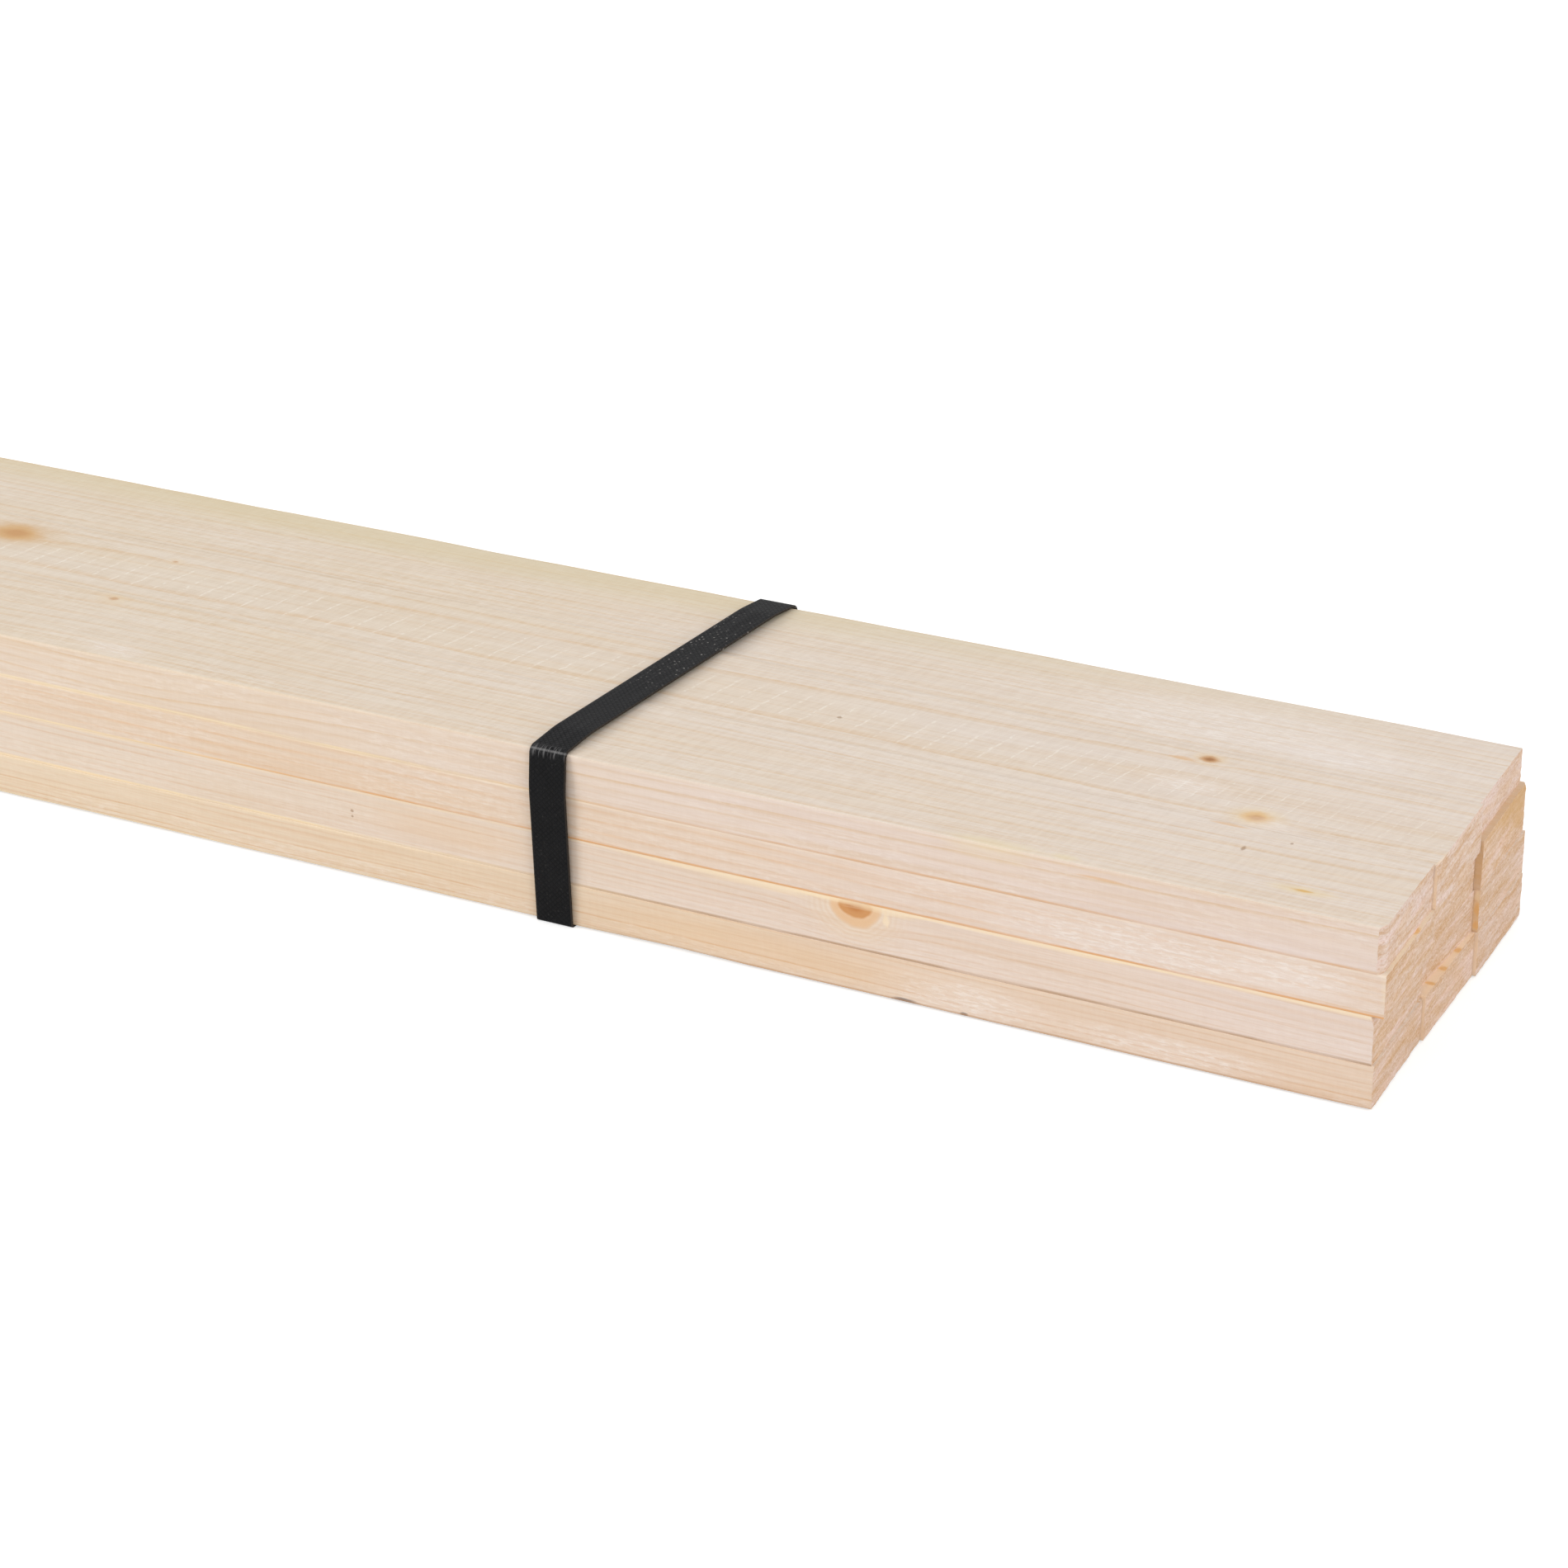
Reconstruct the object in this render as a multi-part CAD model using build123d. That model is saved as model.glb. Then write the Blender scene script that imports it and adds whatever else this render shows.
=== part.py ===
from build123d import *
import os
from math import atan, cos, degrees, radians, tan

# Strapped bundle of thin sawn battens, in millimetres.
# X runs along the battens, -Y is the near side and Z is up. The origin lies under the middle of
# the bundle, on the surface that the straps rest on.

# Battens
batten_length = 1800.0
batten_width = 45.0
batten_thickness = 15.0
arris_radius = 0.6

# Stack, from the bottom layer up and from the near column to the far one. The tables below have a
# row for each layer, in that order, and in it a value for each column.
layer_names = ["bottom", "lower", "upper", "top"]
column_names = ["near", "middle", "far"]
side_gap = 0.25
side_stagger = 0.35
side_stagger_shares = [-0.35, 0.3, -0.2, -0.6]

# Rough sawing: a batten's thickness as a share of the nominal one
thickness_shares = [
    [0.97, 1.03, 1.02],
    [1.10, 0.96, 1.00],
    [0.94, 0.91, 1.13],
    [1.03, 1.10, 0.79],
]

# Uneven ends: how far an end stands out of the nominal length. A right end has a share for its near
# and for its far corner, because some are sawn out of square.
end_stagger = 2.1
right_end_shares = [
    [(-0.62, -0.62), (-0.20, 0.28), (0.82, 1.00)],
    [(-1.00, -0.95), (-1.90, -0.30), (0.60, 0.83)],
    [(0.38, 0.38), (-0.45, -0.50), (0.62, 0.45)],
    [(-0.25, -0.20), (0.33, 0.20), (-0.45, -0.50)],
]
left_end_shares = [
    [0.6, -0.3, -0.9],
    [0.9, 0.4, -0.6],
    [-0.4, 1.0, 0.1],
    [0.2, -0.7, 0.5],
]

# Straps: one stiff plastic band round the bundle near each end, its two ends welded on the far side.
# A band is creased where it goes over a top corner and bulges off the wood beside the crease.
strap_width = 13.0
strap_thickness = 0.7
strap_end_distance = 269.0
strap_skew_right = 5.2
strap_skew_left = -2.5
crease_radius = 2.0
bulge_height = 1.7
bulge_distance = 13.0
bulge_radius = 40.0
weld_length = 30.0

# The bundle's outline, which the straps go round
bundle_width = len(column_names) * batten_width + (len(column_names) - 1) * side_gap
column_pitch = batten_width + side_gap
wood_bottom = strap_thickness

# The inside of a crease just clears the corner of the bundle.
crease_turn = 90 - 2 * degrees(atan(bulge_height / bulge_distance))
crease_standoff = crease_radius * (1 / cos(radians(crease_turn / 2)) - 1) * cos(radians(45))

# The weld is one strap thicker than the near run, so the wood lies half of that to the near side.
wood_centre = -strap_thickness / 2
wood_near = wood_centre - bundle_width / 2 - side_stagger
wood_far = wood_centre + bundle_width / 2 + side_stagger


def thickness_of(layer, column):
    return batten_thickness * thickness_shares[layer][column]


def level_of(layer, column):
    """Height of the underside of a layer in one column, or of the column's top for the last one."""
    return wood_bottom + sum(thickness_of(below, column) for below in range(layer))


def batten(layer, column):
    """One batten in its place: a sawn section with softened long edges, cut off at both ends."""
    thickness = thickness_of(layer, column)
    near_corner_share, far_corner_share = right_end_shares[layer][column]
    right_near = batten_length / 2 + end_stagger * near_corner_share
    right_far = batten_length / 2 + end_stagger * far_corner_share
    left = -batten_length / 2 - end_stagger * left_end_shares[layer][column]
    section = RectangleRounded(batten_width, thickness, arris_radius)
    stick = extrude(Plane.YZ * section, batten_length, both=True)
    side = batten_width / 2
    plan = Polygon((left, -side), (right_near, -side), (right_far, side), (left, side), align=None)
    stick = stick & extrude(plan, thickness, both=True)
    sideways = side_stagger * side_stagger_shares[layer]
    across = wood_centre + (column - (len(column_names) - 1) / 2) * column_pitch + sideways
    return Pos(0, across, level_of(layer, column) + thickness / 2) * stick


def strap_section():
    """The band seen along the battens: up the far side, over the top, down the near side and
    back underneath, until its inner end lies under its outer end."""
    half = strap_thickness / 2
    last_column = len(column_names) - 1
    near_top = level_of(len(layer_names), 0)
    far_top = level_of(len(layer_names), last_column)
    crease_out = crease_standoff + half
    bulge_out = bulge_height + half
    bottom_run = half
    inner_end_run = wood_far + bulge_out
    outer_end_run = inner_end_run + strap_thickness
    weld_middle = (wood_bottom + far_top) / 2
    weld_low = weld_middle - weld_length / 2
    weld_high = weld_middle + weld_length / 2
    path = FilletPolyline(
        (outer_end_run, weld_low),
        (outer_end_run, far_top - bulge_distance),
        (wood_far + crease_out, far_top + crease_out),
        (wood_far - bulge_distance, far_top + bulge_out),
        (wood_near + bulge_distance, near_top + bulge_out),
        (wood_near - crease_out, near_top + crease_out),
        (wood_near - bulge_out, near_top - bulge_distance),
        (wood_near - crease_out, bottom_run),
        (inner_end_run, bottom_run),
        (inner_end_run, weld_high),
        radius=[
            bulge_radius,
            crease_radius + half,
            bulge_radius,
            bulge_radius,
            crease_radius + half,
            bulge_radius,
            crease_out,
            bulge_out,
        ],
    )
    band = trace(path, strap_thickness)
    weld_place = Pos((inner_end_run + outer_end_run) / 2, weld_middle)
    return band + weld_place * Rectangle(strap_thickness, weld_length)


def strap(along, skew):
    """One strap at its place along the bundle, turned by skew from square to the battens."""
    section = strap_section()
    reach = section.bounding_box()
    loop_length = strap_width / cos(radians(skew)) + reach.size.X * abs(tan(radians(skew)))
    loop = extrude(Plane.YZ * section, loop_length, both=True)
    strip = Rot(Z=-skew) * Box(strap_width, 2 * reach.size.X, 3 * reach.size.Y)
    return Pos(along, 0, 0) * (loop & strip)


pieces = {}
for layer, layer_name in enumerate(layer_names):
    for column, column_name in enumerate(column_names):
        pieces[f"batten_{layer_name}_{column_name}"] = batten(layer, column)
strap_place = batten_length / 2 - strap_end_distance
pieces["strap_right"] = strap(strap_place, strap_skew_right)
pieces["strap_left"] = strap(-strap_place, strap_skew_left)

os.makedirs("parts", exist_ok=True)
for name, piece in pieces.items():
    export_step(piece, f"parts/{name}.step")
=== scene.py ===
"""Looks of a bundle of twelve sawn spruce battens held together by two plastic straps."""

import itertools
import math
from typing import NamedTuple

import bmesh
import bpy
from mathutils import Matrix, Quaternion, Vector, noise


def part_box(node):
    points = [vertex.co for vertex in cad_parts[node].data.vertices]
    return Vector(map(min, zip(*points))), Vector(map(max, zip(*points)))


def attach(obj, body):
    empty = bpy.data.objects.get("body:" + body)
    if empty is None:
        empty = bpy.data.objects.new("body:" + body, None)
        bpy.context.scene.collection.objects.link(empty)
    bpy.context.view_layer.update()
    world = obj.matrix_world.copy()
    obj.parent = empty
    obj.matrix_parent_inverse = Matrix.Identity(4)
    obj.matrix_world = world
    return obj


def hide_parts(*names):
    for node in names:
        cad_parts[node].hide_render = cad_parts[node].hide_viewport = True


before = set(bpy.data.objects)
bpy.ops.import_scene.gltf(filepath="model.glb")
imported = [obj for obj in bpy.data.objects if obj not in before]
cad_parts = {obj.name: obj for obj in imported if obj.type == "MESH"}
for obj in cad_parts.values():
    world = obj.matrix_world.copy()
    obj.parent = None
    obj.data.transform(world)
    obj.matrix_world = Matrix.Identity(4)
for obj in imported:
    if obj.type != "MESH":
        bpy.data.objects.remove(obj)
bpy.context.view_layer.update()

# Lengths of the wood and the straps are in millimetres. The scene, and so the stage, is in metres.
MM = 0.001
LAYERS = ["bottom", "lower", "upper", "top"]
COLUMNS = ["near", "middle", "far"]


# Node trees

class Wiring:
    """Adds nodes to one node tree. An input is a socket, or a plain value that is set on its socket."""

    def __init__(self, tree):
        self.tree = tree

    def feed(self, socket, value):
        if isinstance(value, bpy.types.NodeSocket):
            self.tree.links.new(value, socket)
        else:
            socket.default_value = value

    def node(self, kind, inputs, **settings):
        made = self.tree.nodes.new(kind)
        for name, value in settings.items():
            setattr(made, name, value)
        for key, value in inputs.items():
            self.feed(made.inputs[key], value)
        return made

    def math(self, operation, *values):
        return self.node("ShaderNodeMath", dict(enumerate(values)), operation=operation).outputs[0]

    def product(self, first, *others):
        for other in others:
            first = self.math("MULTIPLY", first, other)
        return first

    def vector(self, operation, *values):
        made = self.node("ShaderNodeVectorMath", dict(enumerate(values)), operation=operation)
        return made.outputs["Value" if operation == "LENGTH" else "Vector"]

    def stretched(self, place, size):
        """A place in units of the three lengths in size."""
        return self.vector("DIVIDE", place, size)

    def noise(self, place, seed=0.0, scale=1.0, detail=2.0, rough=0.5):
        """Smooth noise from about 0.25 to 0.75, with features one unit apart at a scale of 1."""
        inputs = {"Vector": place, "W": seed, "Scale": scale, "Detail": detail, "Roughness": rough}
        return self.node("ShaderNodeTexNoise", inputs, noise_dimensions="4D").outputs["Fac"]

    def ramp(self, value, start, end, low=0.0, high=1.0):
        """A smooth step from low, where the value is at start, to high, where it is at end."""
        inputs = {"Value": value, "From Min": start, "From Max": end, "To Min": low, "To Max": high}
        return self.node("ShaderNodeMapRange", inputs, interpolation_type="SMOOTHSTEP").outputs[0]

    def mix(self, share, first, second, blend="MIX"):
        """One colour turning into another."""
        inputs = {0: share, 6: first, 7: second}
        made = self.node("ShaderNodeMix", inputs, data_type="RGBA", blend_type=blend)
        return made.outputs[2]

    def paint(self, colour, share, tone):
        """A colour with a tone, written as it is seen, laid over it."""
        return self.mix(share, colour, seen(*tone))

    def split(self, place):
        return self.node("ShaderNodeSeparateXYZ", {0: place}).outputs

    def join(self, along, across, high):
        return self.node("ShaderNodeCombineXYZ", {0: along, 1: across, 2: high}).outputs[0]

    def attribute(self, name):
        return self.node("ShaderNodeAttribute", {}, attribute_name=name).outputs["Fac"]

    def place(self):
        """Object coordinates in millimetres."""
        coordinates = self.node("ShaderNodeTexCoord", {}).outputs["Object"]
        return self.stretched(coordinates, (MM, MM, MM))

    def facing_up(self):
        """How far the surface faces up, from -1 to 1."""
        normal = self.node("ShaderNodeNewGeometry", {}).outputs["Normal"]
        return self.split(normal)["Z"]

    def group(self, tree, **inputs):
        named = {name.replace("_", " ").title(): value for name, value in inputs.items()}
        return self.node("ShaderNodeGroup", named, node_tree=tree).outputs


def new_group(name, vectors, values, outputs):
    """An empty shader group. Its inputs are vectors and then values, and its outputs are values."""
    tree = bpy.data.node_groups.new(name, "ShaderNodeTree")
    sockets = [(title, "INPUT", "NodeSocketVector") for title in vectors]
    sockets += [(title, "INPUT", "NodeSocketFloat") for title in values]
    sockets += [(title, "OUTPUT", "NodeSocketFloat") for title in outputs]
    for title, direction, kind in sockets:
        tree.interface.new_socket(title, in_out=direction, socket_type=kind)
    given = tree.nodes.new("NodeGroupInput").outputs
    put = tree.nodes.new("NodeGroupOutput").inputs
    return Wiring(tree), given, put


def new_finish(name):
    """A material with nodes, its wiring and its shader."""
    material = bpy.data.materials.new(name)
    material.use_nodes = True
    return material, Wiring(material.node_tree), material.node_tree.nodes["Principled BSDF"]


class Relief(NamedTuple):
    """How a surface takes the light: how deep its fine relief is in millimetres, how strongly that shows
    and how much the surface shines."""
    depth: float
    strength: float
    specular: float


def lay_surface(tree, shader, colour, roughness, height, relief):
    bump = {"Height": height, "Strength": relief.strength, "Distance": relief.depth * MM}
    tree.feed(shader.inputs["Base Color"], colour)
    tree.feed(shader.inputs["Roughness"], roughness)
    tree.feed(shader.inputs["Normal"], tree.node("ShaderNodeBump", bump).outputs[0])
    shader.inputs["Specular IOR Level"].default_value = relief.specular


def seen(red, green, blue):
    """A colour written as it is seen, from 0 to 255, as the linear colour that a shader takes."""
    def linear(level):
        share = level / 255
        return share / 12.92 if share <= 0.04045 else ((share + 0.055) / 1.055) ** 2.4
    return linear(red), linear(green), linear(blue), 1.0


# Wood: effects that all battens share

# Sizes of the features in the wood along X, Y and Z
SLOW_WANDER = (120, 60, 60)
QUICK_WANDER = (38, 12, 12)
RING_FADING = (60, 6, 6)
RING_FRAYING = (16, 0.9, 0.9)
LONG_LINE = (160, 1.1, 1.1)
FINE_FIBRE = (8, 0.5, 0.5)
COARSE_FIBRE = (60, 1.7, 1.7)
CLOUD = (120, 20, 20)
TORN_PATCH = (45, 13, 13)
TORN_TUFT = (4.5, 0.85, 0.85)
SAW_MARK = (1.4, 7, 7)
CROOKED_TICK = (6, 4, 5)
FRAYED_TICK = (7, 6, 6)
BROKEN_TICK = (7, 1.6, 5)

SAW_LEAN = 0.23
SAW_SPACING = 8.9
SLOW_FEED_START = 775.0
SLOW_FEED = 0.05
SQUEEZE_START = 22.0

# From where to where each part of a mark fades away, in half sizes from its middle
MARK_PARTS = {"Core": (0.2, 0.68), "Disc": (0.8, 1.0), "Spot": (0.5, 1.2), "Halo": (0.4, 2.2)}
RIPPLES_FADE = (1.0, 2.3)
RIPPLE = 0.1


def make_growth_rings():
    """Growth rings about a pith that runs along X through the origin of Place. Squeeze narrows the
    rings on the far side. The first ring shows boldest, and Inside is the wood within it."""
    values = ["First Ring", "Ring Width", "Squeeze", "Wander", "Swell", "Seed"]
    tree, given, put = new_group("growth rings", ["Place"], values, ["Late", "Inside"])
    place, seed = given["Place"], given["Seed"]
    side = tree.split(place)
    slow = tree.math("SUBTRACT", tree.noise(tree.stretched(place, SLOW_WANDER), seed, detail=1.0), 0.5)
    quick = tree.math("SUBTRACT", tree.noise(tree.stretched(place, QUICK_WANDER), seed), 0.5)
    wander = tree.math("MULTIPLY_ADD", quick, 0.25, slow)
    beyond = tree.math("MAXIMUM", tree.math("SUBTRACT", side["Y"], SQUEEZE_START), 0.0)
    squeezed = tree.math("MULTIPLY_ADD", beyond, given["Squeeze"], side["Y"])
    radius = tree.vector("LENGTH", tree.join(0.0, squeezed, side["Z"]))
    radius = tree.math("MULTIPLY_ADD", wander, given["Wander"], radius)
    radius = tree.math("ADD", radius, given["Swell"])
    rings = tree.math("DIVIDE", tree.math("SUBTRACT", radius, given["First Ring"]), given["Ring Width"])
    tree.feed(put["Inside"], tree.ramp(rings, -0.35, 0.0, 1.0, 0.0))
    drift = tree.noise(tree.join(0.0, tree.product(rings, 0.6), 0.0), seed, detail=0.0)
    drift = tree.product(drift, tree.ramp(tree.math("ABSOLUTE", rings), 0.5, 3.0, 0.0, 0.9))
    rings = tree.math("ADD", rings, drift)
    phase = tree.math("FRACT", rings)
    late = tree.product(tree.ramp(phase, 0.56, 0.92), tree.ramp(phase, 0.93, 1.0, 1.0, 0.0))
    year = tree.math("ADD", tree.math("FLOOR", rings), seed)
    vigour = tree.node("ShaderNodeTexWhiteNoise", {"W": year}, noise_dimensions="1D").outputs["Value"]
    vigour = tree.math("MULTIPLY_ADD", vigour, 0.6, 0.3)
    fading = tree.noise(tree.stretched(place, RING_FADING), seed, detail=1.0)
    fading = tree.ramp(fading, 0.34, 0.62, 0.45, 1.0)
    bold = tree.ramp(tree.math("ABSOLUTE", rings), 0.35, 0.65, 0.85, 0.0)
    strength = tree.math("MAXIMUM", tree.product(vigour, fading), bold)
    frayed = tree.noise(tree.stretched(place, RING_FRAYING), seed)
    strength = tree.product(strength, tree.ramp(frayed, 0.34, 0.62, 0.6, 1.0))
    tree.feed(put["Late"], tree.product(late, strength))
    return tree.tree


def make_fibres():
    """Rough sawn softwood: fine fibres along X, long thin lines, torn tufts, marks of the saw and slow
    clouds of tone."""
    outputs = ["Streak", "Line", "Cloud", "Tuft", "Patch", "Saw"]
    tree, given, put = new_group("fibres", ["Place"], ["Seed"], outputs)
    place, seed = given["Place"], given["Seed"]
    line = tree.noise(tree.stretched(place, LONG_LINE), seed, detail=1.0)
    tree.feed(put["Line"], tree.ramp(line, 0.5, 0.66))
    fine = tree.noise(tree.stretched(place, FINE_FIBRE), seed, detail=3.0, rough=0.6)
    coarse = tree.noise(tree.stretched(place, COARSE_FIBRE), seed)
    both = tree.math("MULTIPLY_ADD", coarse, 0.5, tree.product(fine, 0.5))
    tree.feed(put["Streak"], tree.ramp(both, 0.32, 0.68))
    tree.feed(put["Cloud"], tree.noise(tree.stretched(place, CLOUD), seed))
    patch = tree.noise(tree.stretched(place, TORN_PATCH), seed)
    tree.feed(put["Patch"], tree.ramp(patch, 0.36, 0.6, 0.15, 1.0))
    tuft = tree.noise(tree.stretched(place, TORN_TUFT), seed, detail=3.0, rough=0.65)
    tree.feed(put["Tuft"], tree.ramp(tuft, 0.46, 0.64))
    x, y, z = tree.split(place)
    leaning = tree.join(tree.math("MULTIPLY_ADD", y, -SAW_LEAN, x), y, z)
    saw = tree.noise(tree.stretched(leaning, SAW_MARK), seed, rough=0.6)
    tree.feed(put["Saw"], tree.ramp(saw, 0.36, 0.64))
    return tree.tree


def make_mark():
    """A spot on a face, more or less ragged: its parts as masks, and the swell that it gives to the
    rings."""
    vectors = ["Place", "Centre", "Half Size"]
    outputs = [*MARK_PARTS, "Ripple", "Swell"]
    tree, given, put = new_group("mark", vectors, ["Ragged", "Bend"], outputs)
    from_centre = tree.vector("SUBTRACT", given["Place"], given["Centre"])
    across = tree.vector("DIVIDE", from_centre, given["Half Size"])
    smooth = tree.vector("LENGTH", across)
    uneven = tree.math("SUBTRACT", tree.noise(across, 3.0, scale=1.3, detail=3.0, rough=0.6), 0.5)
    distance = tree.math("MULTIPLY_ADD", uneven, given["Ragged"], smooth)
    for part, fade in MARK_PARTS.items():
        tree.feed(put[part], tree.ramp(distance, *fade, 1.0, 0.0))
    ripple = tree.ramp(tree.math("PINGPONG", distance, RIPPLE), 0.02, 0.08)
    tree.feed(put["Ripple"], tree.product(ripple, tree.ramp(distance, *RIPPLES_FADE, 1.0, 0.0)))
    spread = tree.math("EXPONENT", tree.product(tree.math("POWER", smooth, 2.0), -0.3))
    tree.feed(put["Swell"], tree.product(spread, given["Bend"]))
    return tree.tree


def make_saw_ticks():
    """Pale ticks that the saw left across a strip of a wide face, closer where the feed was slow."""
    tree, given, put = new_group("saw ticks", ["Place"], ["Middle", "Half Length"], ["Tick"])
    place = given["Place"]
    side = tree.split(place)
    leaning = tree.math("MULTIPLY_ADD", side["Y"], -SAW_LEAN, side["X"])
    slow = tree.math("MAXIMUM", tree.math("SUBTRACT", leaning, SLOW_FEED_START), 0.0)
    along = tree.math("MULTIPLY_ADD", slow, SLOW_FEED, tree.math("DIVIDE", leaning, SAW_SPACING))
    crooked = tree.noise(tree.stretched(place, CROOKED_TICK), 2.0)
    along = tree.math("MULTIPLY_ADD", crooked, 0.3, along)
    line = tree.math("ABSOLUTE", tree.math("SUBTRACT", tree.math("FRACT", along), 0.5))
    line = tree.ramp(line, 0.01, 0.07, 1.0, 0.0)
    reach = tree.math("ABSOLUTE", tree.math("SUBTRACT", side["Y"], given["Middle"]))
    reach = tree.math("DIVIDE", reach, given["Half Length"])
    frayed = tree.noise(tree.stretched(place, FRAYED_TICK), 9.0, detail=1.0)
    reach = tree.ramp(tree.math("MULTIPLY_ADD", frayed, 1.2, reach), 1.3, 1.7, 1.0, 0.0)
    broken = tree.noise(tree.stretched(place, BROKEN_TICK), 5.0, detail=3.0, rough=0.65)
    tree.feed(put["Tick"], tree.product(line, reach, tree.ramp(broken, 0.38, 0.6)))
    return tree.tree


growth_rings = make_growth_rings()
fibres = make_fibres()
mark_shape = make_mark()
saw_ticks = make_saw_ticks()


# Wood: how each batten was cut and what marks it

class Log(NamedTuple):
    """Where a face lay in its log: the pith across and high, the radius of the boldest ring, the ring
    width, how the pith climbs along X, how much narrower the rings are on the far side and how far they
    wander."""
    pith: tuple
    first_ring: float
    ring_width: float
    climb: float = 0.0
    squeeze: float = 0.0
    wander: float = 3.0


class ArrisShading(NamedTuple):
    """Painted light along one arris that the front shows, painted shade at a batten's lower arris and a
    painted highlight at its upper one: its tone, its strength and how far from the middle of the bundle it
    turns into a pale painted highlight."""
    tone: tuple
    strength: float
    pale_to: float = 620.0


class Timber(NamedTuple):
    """The look of one kind of batten. The wide faces and the ripped edges differ in tone, and in the top
    board also in how the rings run. Edge has two tones, at the end and away from it. Late is the tone of
    the rings, contrast their strength, and torn says how much of the wood is torn up."""
    log: Log
    edge: tuple
    late: tuple
    contrast: float
    torn: float
    upper_arris_shading: ArrisShading
    lower_arris_shading: ArrisShading
    edge_log: Log = None


TIMBERS = {
    "top": Timber(
        Log((-1.75, 44.0), 21.0, 4.9, squeeze=0.36, wander=4.0),
        edge=((230, 212, 202), (227, 210, 194)), late=(217, 182, 138), contrast=0.64, torn=0.4,
        upper_arris_shading=ArrisShading((234, 220, 198), 0.2), lower_arris_shading=ArrisShading((222, 172, 124), 0.75),
        edge_log=Log((-68.0, -10.4), 60.0, 3.45, climb=0.01),
    ),
    "upper": Timber(
        Log((-45.0, -25.0), 62.0, 4.2, climb=-0.012),
        edge=((230, 210, 196), (227, 207, 188)), late=(222, 178, 130), contrast=0.65, torn=0.4,
        upper_arris_shading=ArrisShading((242, 226, 206), 0.45), lower_arris_shading=ArrisShading((226, 164, 102), 0.85, 500.0),
    ),
    "lower": Timber(
        Log((-50.0, 90.0), 60.0, 2.1, climb=-0.012),
        edge=((231, 213, 202), (227, 211, 195)), late=(216, 178, 140), contrast=0.55, torn=0.25,
        upper_arris_shading=ArrisShading((246, 226, 190), 0.4), lower_arris_shading=ArrisShading((184, 150, 118), 0.8),
    ),
    "bottom": Timber(
        Log((-60.0, 70.0), 60.0, 2.1, climb=-0.008),
        edge=((229, 206, 186), (228, 209, 185)), late=(212, 164, 114), contrast=0.75, torn=0.4,
        upper_arris_shading=ArrisShading((226, 198, 166), 0.3), lower_arris_shading=ArrisShading((196, 150, 108), 0.6),
    ),
    "hidden": Timber(
        Log((10.0, -40.0), 50.0, 2.8, climb=0.006),
        edge=((230, 211, 196), (227, 208, 188)), late=(214, 172, 130), contrast=0.65, torn=0.4,
        upper_arris_shading=ArrisShading((238, 220, 196), 0.3), lower_arris_shading=ArrisShading((214, 170, 124), 0.4),
    ),
}
# The far side has the same kinds of batten as the near one, in another order.
FAR_TIMBERS = {"bottom": "lower", "lower": "bottom", "upper": "upper", "top": "top"}
# Tones of the sawn ends, from the near column to the far one
END_TONES = {
    "top": [(225, 203, 190), (227, 204, 188), (228, 205, 192)],
    "upper": [(218, 189, 164), (222, 193, 169), (224, 193, 166)],
    "lower": [(219, 191, 168), (220, 192, 171), (220, 192, 169)],
    "bottom": [(219, 191, 169), (220, 190, 165), (221, 194, 174)],
}


class MarkKind(NamedTuple):
    """What a kind of mark paints, from the outside in, as parts of its shape with a colour and a
    strength, how far it pushes the rings aside and how ragged its outline is."""
    paint: list
    bend: float = 0.0
    ragged: float = 0.9


RUST = (196, 142, 92)
MARK_KINDS = {
    "dark knot": MarkKind(
        [("Halo", (232, 202, 156), 0.5), ("Spot", RUST, 0.8), ("Core", (150, 98, 58), 0.65)],
        bend=1.6, ragged=0.6,
    ),
    "pale knot": MarkKind(
        [("Halo", (234, 208, 162), 0.5), ("Spot", (226, 184, 126), 0.8), ("Core", RUST, 0.6)],
        bend=1.4, ragged=0.7,
    ),
    "faint knot": MarkKind([("Halo", (230, 206, 172), 0.4), ("Core", RUST, 0.6)], bend=0.8),
    "big knot": MarkKind(
        [("Halo", (212, 172, 120), 0.35), ("Spot", (214, 172, 120), 0.85), ("Core", RUST, 0.55)],
        bend=2.6, ragged=0.6,
    ),
    "knot ring": MarkKind(
        [("Halo", (238, 218, 192), 0.5), ("Ripple", (218, 184, 148), 0.22), ("Disc", (228, 186, 142), 0.8)],
        bend=-4.0, ragged=0.3,
    ),
    "knot heart": MarkKind([("Disc", (204, 142, 84), 0.85), ("Core", (186, 116, 60), 0.6)], ragged=0.3),
    "speck": MarkKind([("Spot", (150, 112, 76), 0.6)]),
    "dirt": MarkKind([("Spot", (98, 90, 92), 0.8)]),
    "pitch": MarkKind([("Halo", (232, 206, 146), 0.4), ("Core", (220, 174, 96), 0.8)]),
    "streak": MarkKind([("Spot", (224, 178, 126), 0.55)]),
    "glow": MarkKind([("Halo", (228, 184, 130), 0.22)]),
    "yellow": MarkKind([("Halo", (232, 214, 172), 0.45)], ragged=1.4),
    "olive": MarkKind([("Halo", (218, 203, 164), 0.5)]),
    "cream": MarkKind([("Spot", (248, 226, 190), 0.55)], ragged=1.5),
    # Painted light: a pale tone that lifts the shade on the recessed ledges and narrow side strips at the
    # ends
    "painted light ledge": MarkKind([("Spot", (246, 220, 190), 0.9)]),
    "splinter": MarkKind([("Halo", (238, 204, 156), 0.6), ("Spot", (232, 182, 118), 0.75)]),
    "ochre": MarkKind([("Halo", (210, 168, 114), 0.6)]),
    "fuzz": MarkKind([("Halo", (242, 232, 226), 0.26)]),
    "wave": MarkKind([], bend=4.0),
    "outward": MarkKind([], bend=-2.4),
}
LEAST_MARK_DEPTH = 4.0


class Mark(NamedTuple):
    """One mark: its kind, its middle and its half sizes. On the upper face they are along the batten
    and across it, on its near edge along it and upward, and on its right end across and upward."""
    kind: str
    along: float
    across: float
    half_length: float
    half_width: float
    face: str = "upper"


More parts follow.
